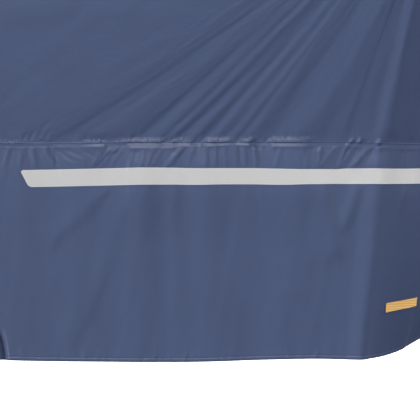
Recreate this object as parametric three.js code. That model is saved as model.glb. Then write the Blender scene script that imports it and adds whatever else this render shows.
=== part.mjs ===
// A fitted scooter cover, as it hangs in use: a hood and a skirt, each cut in two halves that meet on
// the centre plane, a reflective stripe along each side and one sewn tag. Millimetres, +Z up, +X to the
// front, +Y to the left. Heights in the tables are above the ground, and the finished cover is moved so
// that its origin lies just under the cloth, where the cover rests.
import * as THREE from "three";

// Cloth and sewing
const CLOTH = 2;
const HEM_CLOTH = 3.4;
const TRIM = 1.2;
const GAP = 0.3;
const LAP = 11;
const HEM_BAND = 11;

// Waist seam, and the point where the cover rests
const SEAM_Z = 580;
const REST_X = -300;
const REST_Z = 882;

// Stations from tail to nose, for one half: the waist seam, the top line on the centre plane, the
// corner that the cloth is drawn round between those two, and the hem.
const STATION_COLUMNS =
  ["waistX", "waistY", "topX", "topZ", "cornerX", "cornerY", "cornerZ", "hemX", "hemY", "hemZ"];
const STATIONS = [
  [-900, 0, -812, 878, -925, 0, 908, -880, 0, 215],
  [-882, 110, -805, 880, -905, 120, 910, -862, 105, 212],
  [-800, 212, -770, 889, -815, 215, 915, -785, 200, 192],
  [-600, 268, -620, 897, -610, 256, 918, -592, 262, 160],
  [-260, 287, -300, 882, -290, 290, 904, -255, 290, 148],
  [0, 291, 150, 956, 380, 342, 998, 0, 296, 147],
  [150, 292, 590, 1034, 902, 380, 1118, 150, 298, 144],
  [400, 290, 700, 1058, 922, 382, 1128, 395, 298, 142],
  [700, 287, 780, 1070, 936, 382, 1130, 680, 291, 148],
  [808, 283, 820, 1072, 942, 374, 1126, 778, 287, 146],
  [838, 271, 835, 1070, 948, 358, 1114, 810, 273, 146],
  [920, 230, 864, 1064, 962, 290, 1085, 926, 222, 166],
  [1040, 132, 888, 1056, 982, 140, 1054, 1036, 118, 221],
  [1078, 0, 896, 1053, 992, 0, 1042, 1070, 0, 251],
];
const CORNER_TIGHTNESS = 4;

// The skirt stands out from a straight fall by this much, at each drop below the waist seam.
const FLARE = [
  { drop: -LAP, out: 0 },
  { drop: 0, out: 0 },
  { drop: 14, out: 5 },
  { drop: 50, out: 10 },
  { drop: 110, out: 9 },
  { drop: 260, out: 4 },
  { drop: 440, out: 0 },
];

// The elastic in the hem draws nose and tail in by this much, by the foot on the waist seam.
const TUCK = [
  { foot: -900, draw: 45 },
  { foot: -880, draw: 40 },
  { foot: -800, draw: 15 },
  { foot: -600, draw: 0 },
  { foot: 800, draw: 0 },
  { foot: 850, draw: 30 },
  { foot: 920, draw: 72 },
  { foot: 1040, draw: 78 },
  { foot: 1078, draw: 74 },
];
const TUCK_POWER = 3;

// Crests and valleys of the hood's folds, by their foot on the waist seam. They run up to the corner.
const HOOD_FOLDS = {
  right: [
    { foot: -900, rise: 0 },
    { foot: -805, rise: -5 },
    { foot: -690, rise: 4 },
    { foot: -575, rise: -4 },
    { foot: -470, rise: 5 },
    { foot: -330, rise: -3 },
    { foot: -190, rise: 4 },
    { foot: -80, rise: -2 },
    { foot: 120, rise: 2 },
    { foot: 200, rise: -3 },
    { foot: 275, rise: 2 },
    { foot: 328, rise: -2 },
    { foot: 365, rise: 1.5 },
    { foot: 398, rise: 2 },
    { foot: 420, rise: -2 },
    { foot: 440, rise: 0 },
    { foot: 462, rise: -2.5 },
    { foot: 512, rise: 1.5 },
    { foot: 546, rise: 2.5 },
    { foot: 596, rise: -2.5 },
    { foot: 676, rise: 4 },
    { foot: 722, rise: 0.5 },
    { foot: 752, rise: -3.5 },
    { foot: 790, rise: -4 },
    { foot: 823, rise: 4 },
    { foot: 868, rise: -2 },
    { foot: 888, rise: 1 },
    { foot: 940, rise: -2 },
    { foot: 1000, rise: 2 },
    { foot: 1050, rise: -1.5 },
    { foot: 1078, rise: 0 },
  ],
  left: [
    { foot: -900, rise: 0 },
    { foot: -770, rise: 6 },
    { foot: -640, rise: -6 },
    { foot: -520, rise: 7 },
    { foot: -390, rise: -5 },
    { foot: -240, rise: 6 },
    { foot: -70, rise: -4 },
    { foot: 105, rise: 5 },
    { foot: 152, rise: -4 },
    { foot: 205, rise: 6 },
    { foot: 282, rise: -8 },
    { foot: 345, rise: 5 },
    { foot: 396, rise: -6 },
    { foot: 452, rise: 8 },
    { foot: 520, rise: -7 },
    { foot: 604, rise: 8 },
    { foot: 668, rise: -4 },
    { foot: 742, rise: 6 },
    { foot: 815, rise: -9 },
    { foot: 880, rise: 4 },
    { foot: 955, rise: -6 },
    { foot: 1035, rise: 4 },
    { foot: 1078, rise: 0 },
  ],
};
const FOLD_FULL_ABOVE = 30;
const SEAM_HOLD = 0.3;

// Folds of the skirt, by their foot on the waist seam: their rise under the stripe and at the hem.
const SKIRT_FOLDS = {
  right: [
    { foot: -900, high: 0, low: 0 },
    { foot: -805, high: 4, low: 6 },
    { foot: -690, high: -3, low: -5 },
    { foot: -575, high: 2, low: 6 },
    { foot: -470, high: -2, low: -5 },
    { foot: -330, high: 2, low: 5 },
    { foot: -190, high: -2, low: -5 },
    { foot: -80, high: 1.5, low: 4 },
    { foot: 30, high: 0.5, low: -12 },
    { foot: 72, high: 1, low: 1 },
    { foot: 164, high: -1.5, low: -0.5 },
    { foot: 210, high: 1, low: 2 },
    { foot: 273, high: -3, low: -1 },
    { foot: 336, high: 4, low: 2.5 },
    { foot: 386, high: -3, low: -2.5 },
    { foot: 430, high: -2, low: -0.5 },
    { foot: 478, high: 2.5, low: 3 },
    { foot: 582, high: -3, low: -3 },
    { foot: 651, high: 4, low: 1.5 },
    { foot: 728, high: -5, low: -2.5 },
    { foot: 756, high: 0.5, low: -2 },
    { foot: 778, high: -4, low: -2 },
    { foot: 815, high: 4, low: 4 },
    { foot: 863, high: -2.5, low: -2 },
    { foot: 887, high: 0.5, low: 0 },
    { foot: 940, high: -2.5, low: -4 },
    { foot: 1000, high: 2, low: 3 },
    { foot: 1050, high: -1.5, low: -2.5 },
    { foot: 1078, high: 0, low: 0 },
  ],
  left: [
    { foot: -900, high: 0, low: 0 },
    { foot: -770, high: -4, low: -8 },
    { foot: -640, high: 4, low: 7 },
    { foot: -520, high: -3, low: -6 },
    { foot: -390, high: 3, low: 7 },
    { foot: -240, high: -3, low: -7 },
    { foot: -70, high: 3, low: 6 },
    { foot: 152, high: -3, low: -6 },
    { foot: 282, high: 4, low: 4 },
    { foot: 345, high: -4, low: -3 },
    { foot: 452, high: 4, low: 4 },
    { foot: 604, high: -3, low: -5 },
    { foot: 668, high: 5, low: 3 },
    { foot: 742, high: -4, low: 1 },
    { foot: 815, high: 3, low: 4 },
    { foot: 880, high: -3, low: -4 },
    { foot: 955, high: 3, low: 4 },
    { foot: 1035, high: -2, low: -3 },
    { foot: 1078, high: 0, low: 0 },
  ],
};

// Stripe: its edges below the waist seam, and the slanted rear end. Tag: its ends by their foot on the
// waist seam, and its edges as shares of the fall from the stripe to the hem.
const STRIPE = { top: 51, bottom: 85, end: 97, slant: 18 };
const STRIPE_END = [0, 1, 2].map((step) => STRIPE.end + STRIPE.slant * step);
const TAG = { rear: 852, front: 907, top: 0.684, bottom: 0.737 };

// Spacing of the section lines along each half, and of the rows down it
const SPACING = { right: 46, left: 66 };
const CLOSEST = 12;
const LINE_TOLERANCE = 1e-3;
const HOOD_ROWS = 8;
const SKIRT_SHARES = [0.16, 0.42, TAG.top, TAG.bottom, 0.88];

const NAVY = { color: 0x3b4769, roughness: 0.55, metalness: 0 };
const SILVER = { color: 0xc6c7c8, roughness: 0.45, metalness: 0.1 };
const ORANGE = { color: 0xe4b464, roughness: 0.7, metalness: 0 };

// A smooth curve through the keys and values that never swings past a crest or a valley.
function smoothCurve(keys, values) {
  const steps = keys.slice(1).map((key, i) => (values[i + 1] - values[i]) / (key - keys[i]));
  const slopes = keys.map((_, i) => {
    const before = steps[i - 1] ?? 0;
    const after = steps[i] ?? 0;
    return before * after > 0 ? (2 * before * after) / (before + after) : 0;
  });
  return (at) => {
    let i = 0;
    while (i < keys.length - 2 && at > keys[i + 1]) i += 1;
    const span = keys[i + 1] - keys[i];
    const t = Math.min(Math.max((at - keys[i]) / span, 0), 1);
    const rest = 1 - t;
    return values[i] * rest * rest * (1 + 2 * t) + values[i + 1] * t * t * (3 - 2 * t)
      + span * t * rest * (slopes[i] * rest - slopes[i + 1] * t);
  };
}

function rowCurve(rows, key, value) {
  return smoothCurve(rows.map((row) => row[key]), rows.map((row) => row[value]));
}

// Each column of the stations as a curve along the waist seam. Half-widths change sign past the ends
// and the rest mirrors, so that both halves close round the nose and the tail without a crease.
const waistX = STATIONS.map((row) => row[0]);
const waistY = STATIONS.map((row) => row[1]);
const alongStations = waistX.map(() => 0);
for (let i = 1; i < alongStations.length; i += 1) {
  alongStations[i] = alongStations[i - 1] + Math.hypot(waistX[i] - waistX[i - 1], waistY[i] - waistY[i - 1]);
}
const LENGTH = alongStations.at(-1);
const stationCurves = {};
STATION_COLUMNS.forEach((name, column) => {
  const sign = name.endsWith("Y") ? -1 : 1;
  const values = STATIONS.map((row) => row[column]);
  stationCurves[name] = smoothCurve(
    [-alongStations[1], ...alongStations, 2 * LENGTH - alongStations.at(-2)],
    [sign * values[1], ...values, sign * values.at(-2)],
  );
});

function alongAt(foot) {
  let low = 0;
  let high = LENGTH;
  while (high - low > LINE_TOLERANCE) {
    const middle = (low + high) / 2;
    if (stationCurves.waistX(middle) < foot) low = middle;
    else high = middle;
  }
  return (low + high) / 2;
}

// One section line of a half, on its right side: the points that steer it and the folds that cross it.
function sectionAt(along, side) {
  const at = {};
  for (const name of STATION_COLUMNS) at[name] = stationCurves[name](along);
  const foot = at.waistX;
  return {
    top: new THREE.Vector3(at.topX, 0, at.topZ),
    corner: new THREE.Vector3(at.cornerX, -at.cornerY, at.cornerZ),
    waist: new THREE.Vector3(at.waistX, -at.waistY, SEAM_Z),
    hem: new THREE.Vector3(at.hemX, -at.hemY, at.hemZ),
    hoodRise: hoodRise[side](foot),
    highRise: highRise[side](foot),
    lowRise: lowRise[side](foot),
    tuck: tuckIn(foot),
  };
}

const flareOut = rowCurve(FLARE, "drop", "out");
const tuckIn = rowCurve(TUCK, "foot", "draw");
const hoodRise = {};
const highRise = {};
const lowRise = {};
for (const side of ["right", "left"]) {
  hoodRise[side] = rowCurve(HOOD_FOLDS[side], "foot", "rise");
  highRise[side] = rowCurve(SKIRT_FOLDS[side], "foot", "high");
  lowRise[side] = rowCurve(SKIRT_FOLDS[side], "foot", "low");
}

// Rows down the cover. Each gives its point on a section line, its fold's rise and its flare there.
function hoodRow(turn) {
  const toCorner = 1 - (1 - turn) ** CORNER_TIGHTNESS;
  const toWaist = turn ** CORNER_TIGHTNESS;
  return (section) => ({
    point: section.top.clone().lerp(section.corner, toCorner)
      .addScaledVector(section.waist.clone().sub(section.corner), toWaist),
    rise: section.hoodRise * toWaist,
    out: 0,
  });
}

function aboveSeamRow(height, hold) {
  return (section) => ({
    point: section.waist.clone()
      .addScaledVector(section.corner.clone().sub(section.waist).normalize(), height),
    rise: section.hoodRise * hold,
    out: 0,
  });
}

function skirtRow(dropOf, foldShare) {
  return (section) => {
    const fall = section.waist.z - section.hem.z;
    const drop = dropOf(fall);
    const low = drop / fall;
    const ownRise = section.highRise * (1 - low) + section.lowRise * low;
    return {
      point: section.waist.clone().lerp(section.hem, low),
      rise: section.hoodRise * SEAM_HOLD * (1 - foldShare) + ownRise * foldShare,
      out: flareOut(drop) - section.tuck * low ** TUCK_POWER,
    };
  };
}

const LAP_ROWS = [
  aboveSeamRow(LAP, SEAM_HOLD),
  skirtRow(() => 0, 0),
  skirtRow(() => LAP, 0),
];
const STRIPE_ROWS = [
  skirtRow(() => STRIPE.top, 1),
  skirtRow(() => STRIPE.bottom, 1),
];
const shareRow = (share) => skirtRow((fall) => STRIPE.bottom + (fall - STRIPE.bottom) * share, 1);
const HOOD = [
  ...Array.from({ length: HOOD_ROWS }, (_, i) => hoodRow(i / HOOD_ROWS)),
  aboveSeamRow(FOLD_FULL_ABOVE, 1),
  ...LAP_ROWS,
];
const HEM_ROWS = [
  skirtRow((fall) => fall - HEM_BAND, 1),
  skirtRow((fall) => fall, 1),
];
const SKIRT = [...LAP_ROWS, ...STRIPE_ROWS, ...SKIRT_SHARES.map(shareRow), ...HEM_ROWS];

// Section lines at the folds and trim edges of a half, with more between them where those stand wide.
function sectionLines(side) {
  const trim = [...STRIPE_END, TAG.rear, TAG.front].map(alongAt);
  const folds = [...HOOD_FOLDS[side].slice(1, -1), ...SKIRT_FOLDS[side].slice(1, -1)]
    .map((fold) => alongAt(fold.foot))
    .filter((fold) => trim.every((edge) => Math.abs(edge - fold) > CLOSEST));
  const lines = [0];
  for (const mark of [...trim, ...folds, LENGTH].sort((a, b) => a - b)) {
    const from = lines.at(-1);
    const count = Math.ceil((mark - from) / SPACING[side]);
    if (mark - from < CLOSEST) continue;
    for (let step = 1; step <= count; step += 1) lines.push(from + ((mark - from) * step) / count);
  }
  return lines;
}

// The points of a half on its right side, with the way out of the cloth at each. Points on the centre
// plane keep half a gap to it, and their way out stays in that plane.
function surfaceOf(sections, rows) {
  const rowPoints = rows.map((row) => sections.map((section) => row(section)));
  const places = rowPoints.map((line) => line.map(({ point }) => point));
  return rowPoints.map((line, r) => line.map(({ point, rise, out }, c) => {
    const above = places[Math.max(r - 1, 0)][c];
    const below = places[Math.min(r + 1, rows.length - 1)][c];
    const rear = places[r][Math.max(c - 1, 0)];
    const front = places[r][Math.min(c + 1, sections.length - 1)];
    const outward = below.clone().sub(above).cross(front.clone().sub(rear));
    const onCentre = point.y > -GAP;
    if (onCentre) outward.y = 0;
    outward.normalize();
    const centred = point.clone();
    if (onCentre) centred.y = -GAP / 2;
    return { point: centred.addScaledVector(outward, rise + out), outward };
  }));
}

// A closed sheet on a grid of surface points, between two distances from the surface.
function sheet(grid, insideOf, outsideOf, side) {
  const columns = grid[0].length;
  const count = grid.length * columns;
  const mirror = side === "left" ? -1 : 1;
  const positions = [];
  for (const offsetOf of [outsideOf, insideOf]) {
    grid.forEach((line, r) => line.forEach(({ point, outward }) => {
      const vertex = point.clone().addScaledVector(outward, offsetOf(r));
      positions.push(vertex.x, vertex.y * mirror, vertex.z);
    }));
  }
  const triangles = [];
  const add = (a, b, c) => triangles.push(...(mirror > 0 ? [a, b, c] : [a, c, b]));
  const at = (r, c) => r * columns + c;
  for (let r = 0; r < grid.length - 1; r += 1) {
    for (let c = 0; c < columns - 1; c += 1) {
      const [a, b, d, e] = [at(r, c), at(r, c + 1), at(r + 1, c), at(r + 1, c + 1)];
      add(a, d, e);
      add(a, e, b);
      add(count + a, count + e, count + d);
      add(count + a, count + b, count + e);
    }
  }
  const rim = [];
  for (let c = 0; c < columns - 1; c += 1) rim.push(at(0, c));
  for (let r = 0; r < grid.length - 1; r += 1) rim.push(at(r, columns - 1));
  for (let c = columns - 1; c > 0; c -= 1) rim.push(at(grid.length - 1, c));
  for (let r = grid.length - 1; r > 0; r -= 1) rim.push(at(r, 0));
  rim.forEach((from, i) => {
    const to = rim[(i + 1) % rim.length];
    add(from, to, count + to);
    add(from, count + to, count + from);
  });
  const geometry = new THREE.BufferGeometry();
  geometry.setAttribute("position", new THREE.Float32BufferAttribute(positions, 3));
  geometry.setIndex(triangles);
  geometry.computeVertexNormals();
  return geometry;
}

function piece(name, geometry, look) {
  const mesh = new THREE.Mesh(geometry, new THREE.MeshStandardMaterial(look));
  mesh.name = name;
  return mesh;
}

function hood(side, sections) {
  const geometry = sheet(surfaceOf(sections, HOOD), () => GAP / 2, () => GAP / 2 + CLOTH, side);
  return piece(`hood_${side}`, geometry, NAVY);
}

function skirt(side, skirtGrid) {
  const inHem = (r) => r >= SKIRT.length - HEM_ROWS.length;
  const inside = (r) => -GAP / 2 - (inHem(r) ? HEM_CLOTH : CLOTH);
  return piece(`skirt_${side}`, sheet(skirtGrid, inside, () => -GAP / 2, side), NAVY);
}

// Trim lies on the skirt's own grid, so that its faces stay level with the cloth under it.
function trim(name, grid, side, look) {
  return piece(name, sheet(grid, () => GAP / 2, () => GAP / 2 + TRIM, side), look);
}

function lineAt(lines, foot) {
  return lines.findIndex((along) => Math.abs(along - alongAt(foot)) < LINE_TOLERANCE);
}

function stripe(side, skirtGrid, lines) {
  const first = SKIRT.indexOf(STRIPE_ROWS[0]);
  const ends = STRIPE_END.map((foot) => lineAt(lines, foot));
  const grid = STRIPE_ROWS.map((_, r) => {
    const row = skirtGrid[first + r];
    return [row[ends[r]], row[ends[r + 1]], ...row.slice(ends[2] + 1)];
  });
  return trim(`reflective_stripe_${side}`, grid, side, SILVER);
}

function tag(skirtGrid, lines) {
  const first = LAP_ROWS.length + STRIPE_ROWS.length + SKIRT_SHARES.indexOf(TAG.top);
  const grid = skirtGrid.slice(first, first + 2)
    .map((row) => row.slice(lineAt(lines, TAG.rear), lineAt(lines, TAG.front) + 1));
  return trim("tag", grid, "right", ORANGE);
}

const cover = new THREE.Group();
for (const side of ["right", "left"]) {
  const lines = sectionLines(side);
  const sections = lines.map((along) => sectionAt(along, side));
  const skirtGrid = surfaceOf(sections, SKIRT);
  cover.add(hood(side, sections));
  cover.add(skirt(side, skirtGrid));
  cover.add(stripe(side, skirtGrid, lines));
  if (side === "right") cover.add(tag(skirtGrid, lines));
}
cover.position.set(-REST_X, 0, -REST_Z);

export default cover;
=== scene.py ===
"""A fitted scooter cover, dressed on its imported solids: cloth halves with their folds and gathers, a lapped
waist seam, a hem, reflective stripes, a ribbon tag, stitching and a plain studio."""

import math

import bpy
import numpy as np
from bpy.props import FloatProperty, FloatVectorProperty, PointerProperty
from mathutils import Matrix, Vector


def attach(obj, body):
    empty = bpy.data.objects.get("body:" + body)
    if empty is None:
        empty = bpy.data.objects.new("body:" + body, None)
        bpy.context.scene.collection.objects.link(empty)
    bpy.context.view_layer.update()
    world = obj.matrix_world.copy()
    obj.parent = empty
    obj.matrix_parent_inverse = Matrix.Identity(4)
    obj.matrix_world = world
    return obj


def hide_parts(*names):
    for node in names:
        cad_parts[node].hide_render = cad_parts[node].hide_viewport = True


bl_info = {
    "name": "Scooter Cover",
    "version": (1, 0, 0),
    "blender": (4, 5, 0),
    "location": "View3D > Sidebar > Cover",
    "description": "Builds a draped scooter cover with its seams, stripes, tag and studio",
    "category": "Object",
}

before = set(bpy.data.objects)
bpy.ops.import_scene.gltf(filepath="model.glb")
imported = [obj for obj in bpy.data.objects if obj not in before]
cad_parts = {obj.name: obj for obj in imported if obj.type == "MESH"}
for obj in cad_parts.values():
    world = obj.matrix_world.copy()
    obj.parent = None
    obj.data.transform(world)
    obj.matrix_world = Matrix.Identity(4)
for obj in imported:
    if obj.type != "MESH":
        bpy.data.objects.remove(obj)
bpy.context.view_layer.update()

MM = 0.001
SIDES = ("right", "left")

# The tables are in millimetres, with heights above the ground. The part's origin lies just under the cloth,
# where the cover rests.
SEAM_Z = 580
REST = np.array([-300.0, 0.0, 882.0])

# Stations from tail to nose, for one half: the waist seam, the top line on the centre plane, the corner
# that the cloth is drawn round between those two, and the hem.
STATION_COLUMNS = (
    "waist_x", "waist_y", "top_x", "top_z", "corner_x", "corner_y", "corner_z", "hem_x", "hem_y", "hem_z")
STATIONS = np.array([
    [-900, 0, -812, 878, -925, 0, 908, -880, 0, 215],
    [-882, 110, -805, 880, -905, 120, 910, -862, 105, 212],
    [-800, 212, -770, 889, -815, 215, 915, -785, 200, 192],
    [-600, 268, -620, 897, -610, 256, 918, -592, 262, 160],
    [-260, 287, -300, 882, -290, 290, 904, -255, 290, 148],
    [0, 291, 150, 956, 380, 342, 998, 0, 296, 147],
    [150, 292, 590, 1034, 902, 380, 1118, 150, 298, 144],
    [400, 290, 700, 1058, 922, 382, 1128, 395, 298, 142],
    [700, 287, 780, 1070, 936, 382, 1130, 680, 291, 148],
    [808, 283, 820, 1072, 942, 374, 1126, 778, 287, 146],
    [838, 271, 835, 1070, 948, 358, 1114, 810, 273, 146],
    [920, 230, 864, 1064, 962, 290, 1085, 926, 222, 166],
    [1040, 132, 888, 1056, 982, 140, 1054, 1036, 118, 221],
    [1078, 0, 896, 1053, 992, 0, 1042, 1070, 0, 251],
], float)
# How tightly the cloth is drawn round that corner.
CORNER_TIGHTNESS = 4
# Steps that lengths along the waist and up the hood are measured in.
ALONG_STEPS = 8000
HOOD_STEPS = 240
# Points nearer to the centre plane than the reach count as on it, and each half keeps the gap away from it.
CENTRE_REACH = 0.3
CENTRE_GAP = 0.02

# How far the skirt stands out from a straight fall, by the drop below the waist seam.
FLARE = [(-11, 0), (0, 0), (14, 0.4), (50, 3), (110, 6), (260, 4), (440, 0)]
# How far the elastic in the hem draws nose and tail in, by the foot on the waist seam, and the power by which
# this grows down to the hem.
TUCK = [(-900, 45), (-880, 40), (-800, 15), (-600, 0), (800, 0), (850, 30), (920, 72), (1040, 78), (1078, 74)]
TUCK_POWER = 3

# Crests and valleys of the hood's folds: foot on the seam, foot far above it, rise at either end. Here and
# below, a pair named FREE, CHANGE, FROM, TO or PRESSED holds the distances at which a change begins and ends.
HOOD_FOLDS = {
    "right": [
        (-900, -900, 0, 0), (-805, -805, -5, -3), (-690, -690, 4, 3), (-575, -575, -4, -3),
        (-470, -470, 5, 3), (-330, -400, -3, -4), (-190, -255, 4, 8), (-80, -70, -1, -3),
        (138, 192, 0.2, 0.4), (166, 238, -1.8, -1.6), (250, 308, 1.8, 1.2), (300, 322, 0.3, 0.6),
        (326, 332, -2.2, -0.2), (364, 366, 1.5, 1), (376, 386, 0.7, 0), (386, 410, 1.4, 2),
        (406, 434, -1.2, -0.8), (434, 448, 2, -2), (458, 468, -1.6, -2.6), (477, 494, 1.2, 0.3),
        (497, 517, -0.4, -0.8), (514, 538, 1.2, 1.6), (528, 544, -0.2, 1.7), (546, 550, 1.4, 1.8),
        (586, 606, -2.2, -2.6), (656, 696, 3, 4), (708, 716, 0, 2.2), (728, 734, 0.6, -0.6),
        (750, 740, -2, -2.4), (772, 756, -2.6, -3.4), (796, 776, -3.8, -4.2), (802, 782, -3.2, -3.4),
        (828, 806, 3.6, 3.8), (833, 811, 4.4, 4.4), (872, 862, -1, -0.5), (888, 886, 1.2, 0.6),
        (940, 940, -2, -2), (1000, 1000, 2, 2), (1050, 1050, -1.5, -1.5), (1078, 1078, 0, 0)],
    "left": [
        (-900, -900, 0, 0), (-770, -770, 4, 3), (-640, -640, -4, -3), (-520, -520, 5, 3),
        (-390, -390, -3, -3), (-240, -240, 4, 2), (-70, -50, -3, -2), (105, 150, 3, 2),
        (152, 200, -2, -1), (205, 262, 3, 2), (282, 320, -4, -3), (345, 372, 2.5, 2), (396, 414, -3, -2),
        (452, 462, 3.5, 3), (520, 526, -3, -3), (604, 610, 3.5, 3), (668, 672, -2, -1), (742, 738, 3, 2),
        (815, 806, -4, -3), (880, 874, 2, 2), (955, 955, -3, -3), (1035, 1035, 2, 2), (1078, 1078, 0, 0)],
}
# Height of the far feet, the share of a fold that the seam leaves standing, and the heights at which the
# folds come free of it.
HOOD_FAR = 280
SEAM_HOLD = 0.6
FOLD_FREE = (8, 32)

# Folds of the skirt: foot on the seam, foot at the hem, rise at either end.
SKIRT_FOLDS = {
    "right": [
        (-900, -900, 0, 0), (-805, -805, 4, 6), (-690, -690, -3, -5), (-575, -575, 2, 6),
        (-470, -470, -2, -5), (-330, -330, 2, 5), (-190, -190, -2, -5), (-80, -80, 1.5, 4),
        (20, 20, 0.5, -1.5), (90, 98, 0.8, 1), (165, 150, -1, -0.3), (214, 205, 0.8, 1.4),
        (276, 270, -1.9, -0.8), (342, 330, 2.7, 1.7), (382, 390, -2.2, -1.7), (404, 420, 0, -0.7),
        (422, 440, -1.4, -0.3), (466, 490, 1.7, 1.9), (504, 530, -0.7, 0.3), (600, 565, -1.9, -2),
        (672, 630, 2.4, 1), (732, 740, -1.6, -1.8), (778, 768, -1.8, -2), (820, 808, 3.6, 3.8),
        (868, 862, -1.4, -1), (887, 887, 0.5, 0), (940, 940, -2.5, -4), (1000, 1000, 2, 3),
        (1050, 1050, -1.5, -2.5), (1078, 1078, 0, 0)],
    "left": [
        (-900, -900, 0, 0), (-770, -770, -3, -6), (-640, -640, 3, 5), (-520, -520, -2, -4),
        (-390, -390, 2, 5), (-240, -240, -2, -5), (-70, -70, 2, 4), (152, 140, -2, -4),
        (282, 270, 2.5, 3), (345, 340, -2.5, -2), (452, 440, 2.5, 3), (604, 596, -2, -3.5),
        (668, 660, 3, 2), (742, 740, -2.5, 1), (815, 806, 2, 3), (880, 872, -2, -3), (955, 955, 2, 3),
        (1035, 1035, -1.5, -2), (1078, 1078, 0, 0)],
}
# Drops at which the hood's folds give way to the skirt's own.
FOLD_CHANGE = (11, 50)

# Creases listed for the right side: the line of each through x and z, how soft its rear and its front
# flank are, and its rise (a trough is below 0). At both ends each dies out over the fade, or over a third of
# its length if that is less.
CREASE_FADE = 30
HOOD_CREASES = [
    ([(45, 850), (115, 862), (185, 870)], 6, 14, 2.0),
    ([(35, 830), (175, 841), (215, 838), (345, 848)], 7, 20, 2.0),
    ([(255, 833), (275, 845), (325, 850)], 3, 3, -0.5),
    ([(265, 759), (299, 765)], 3, 3, -0.5),
    ([(311, 775), (375, 795), (435, 803), (455, 825), (470, 838)], 4, 3, -0.7),
    ([(385, 751), (415, 763), (455, 761)], 3, 3, -0.5),
    ([(208, 586), (284, 586)], 9, 3, -2.2),
    ([(30, 652), (62, 622), (92, 588)], 7, 14, -2.0),
    ([(52, 662), (82, 622)], 3, 3, -0.7),
    ([(103, 583), (110, 601)], 4, 3, -1.4),
    ([(117, 583), (125, 607)], 4, 3, -1.5),
    ([(134, 584), (143, 608), (152, 625)], 4, 3, -1.7),
    ([(147, 585), (156, 607)], 4, 3, -1.4),
]
SKIRT_CREASES = [
    ([(283, 495), (250, 458), (180, 395), (150, 361)], 22, 4, 2.4),
    ([(307, 468), (287, 408), (270, 341), (233, 248), (187, 168)], 28, 14, 2),
    ([(694, 510), (712, 430), (731, 335)], 30, 16, 5),
    ([(774, 512), (757, 455), (733, 395)], 14, 14, 4.6),
    ([(868, 500), (855, 433)], 5, 4, 1.5),
    ([(50, 215), (60, 175), (70, 110)], 9, 7, -13),
    ([(60, 408), (120, 415), (190, 440)], 6, 6, -0.9),
    ([(573, 281), (690, 283)], 5, 5, 0.8),
    ([(158, 568), (175, 562), (185, 554), (195, 547), (216, 538)], 3, 3.5, -1.5),
    ([(180, 569), (200, 560), (211, 555), (227, 550)], 3, 3.5, -1.4),
    ([(214, 566), (229, 559), (243, 553), (251, 541)], 3, 3.5, -1.4),
    ([(297, 566), (285, 556), (271, 552)], 3, 3.5, -1.6),
]

# The waist seam as it runs along each side: foot, sag of the stitch groove, width of the lower strip, how far
# the lower strip and the lip above the groove are tilted up, and how strongly the lip is puckered.
SEAM_COLUMNS = ("foot", "sag", "strip", "tilt", "lip", "pucker")
SEAM_RUN = {
    "right": [
        (-900, 0, 10, 0.5, 0.4, 0.5), (40, 3, 9, 0.15, 0.5, 0.8), (85, 3, 9, 0.15, 0.5, 0.8),
        (104, 3, 9, 0.15, 0.2, 0.4), (150, 3, 9, 0.2, 0.1, 0.3), (160, 2.6, 8, 0.1, 0.05, 0.2),
        (168, 2.4, 8, 0.38, 0.1, 0.3), (215, 2.5, 8, 0.35, 0.15, 0.5), (232, 2, 8, 0.6, 0.25, 0.8),
        (250, 2, 8, 0.8, 0.45, 0.8), (264, 2, 8, 0.8, 0.2, 0.8), (270, 1.5, 9, 0.2, 0.1, 0.5),
        (292, 0, 10, 0.2, 0.7, 0.8), (305, 0, 11, 0.3, 0.9, 0.9), (318, -0.5, 13, 1, 1, 0.6),
        (340, -0.5, 13, 1, 0.9, 0.8), (372, -0.5, 13, 1, 0.9, 1), (384, -0.5, 13, 1, 0.25, 1),
        (392, -0.5, 12.5, 1, 0.3, 1), (400, -0.5, 12, 1, 0.95, 0.6), (418, -0.5, 10.5, 0.9, 0.6, 1),
        (434, -0.5, 10, 0.7, 0.6, 1), (442, -0.5, 10, 0.85, 0.15, 0.4), (455, -0.5, 10, 0.85, 0.25, 0.5),
        (463, -0.8, 10, 1, 0.9, 0.9), (500, -1, 8.5, 1, 1, 0.6), (512, -1, 8, 1, 0.6, 0.4),
        (528, -1, 8, 0.9, 0.3, 0.8), (540, -1, 8, 0.9, 0.7, 1), (552, -1, 8, 0.9, 0.9, 0.5),
        (560, -1, 8, 0.6, 0.3, 0.5), (568, -1, 8, 0.1, 0.1, 0.5), (574, -0.8, 8, 0.15, 0.3, 0.5),
        (580, -0.8, 9, 0.7, 0.3, 0.8), (585, -0.8, 9, 0.6, 0.2, 0.9), (590, -0.8, 9, 0.4, 0.6, 0.9),
        (600, -0.6, 9.5, 1, 0.9, 1), (612, -0.6, 9.5, 1, 0.9, 0.8), (640, -0.5, 9.5, 1, 0.9, 0.3),
        (665, -0.4, 10, 0.9, 0.6, 0.3), (675, -0.4, 10, 0.6, 0.2, 0.2), (684, -0.3, 10, 0.1, 0.1, 0.1),
        (741, 0, 10, 0.1, 0.05, 0.1), (777, 0.5, 10, 0.1, 0.05, 0.1), (821, 2, 10, 0.05, 0.05, 0.2),
        (900, 3, 10, 0.1, 0.05, 0.2), (1078, 0, 10, 0.4, 0.4, 0.4)],
    "left": [
        (-900, 0, 10, 0.5, 0.4, 0.5), (-300, 1, 9, 0.6, 0.3, 0.6), (60, -1, 11, 0.4, 0.5, 0.8),
        (240, 1, 9, 0.9, 0.7, 0.6), (480, -1, 12, 0.7, 0.9, 0.9), (700, 1, 9, 0.4, 0.3, 0.5),
        (900, 2, 10, 0.3, 0.1, 0.3), (1078, 0, 10, 0.4, 0.4, 0.4)],
}
# The strip's width in the seam's other tables, and the distances from the seam at which the sag dies out.
STRIP_WIDTH = 11
SAG_TO = (14, 60)
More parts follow.
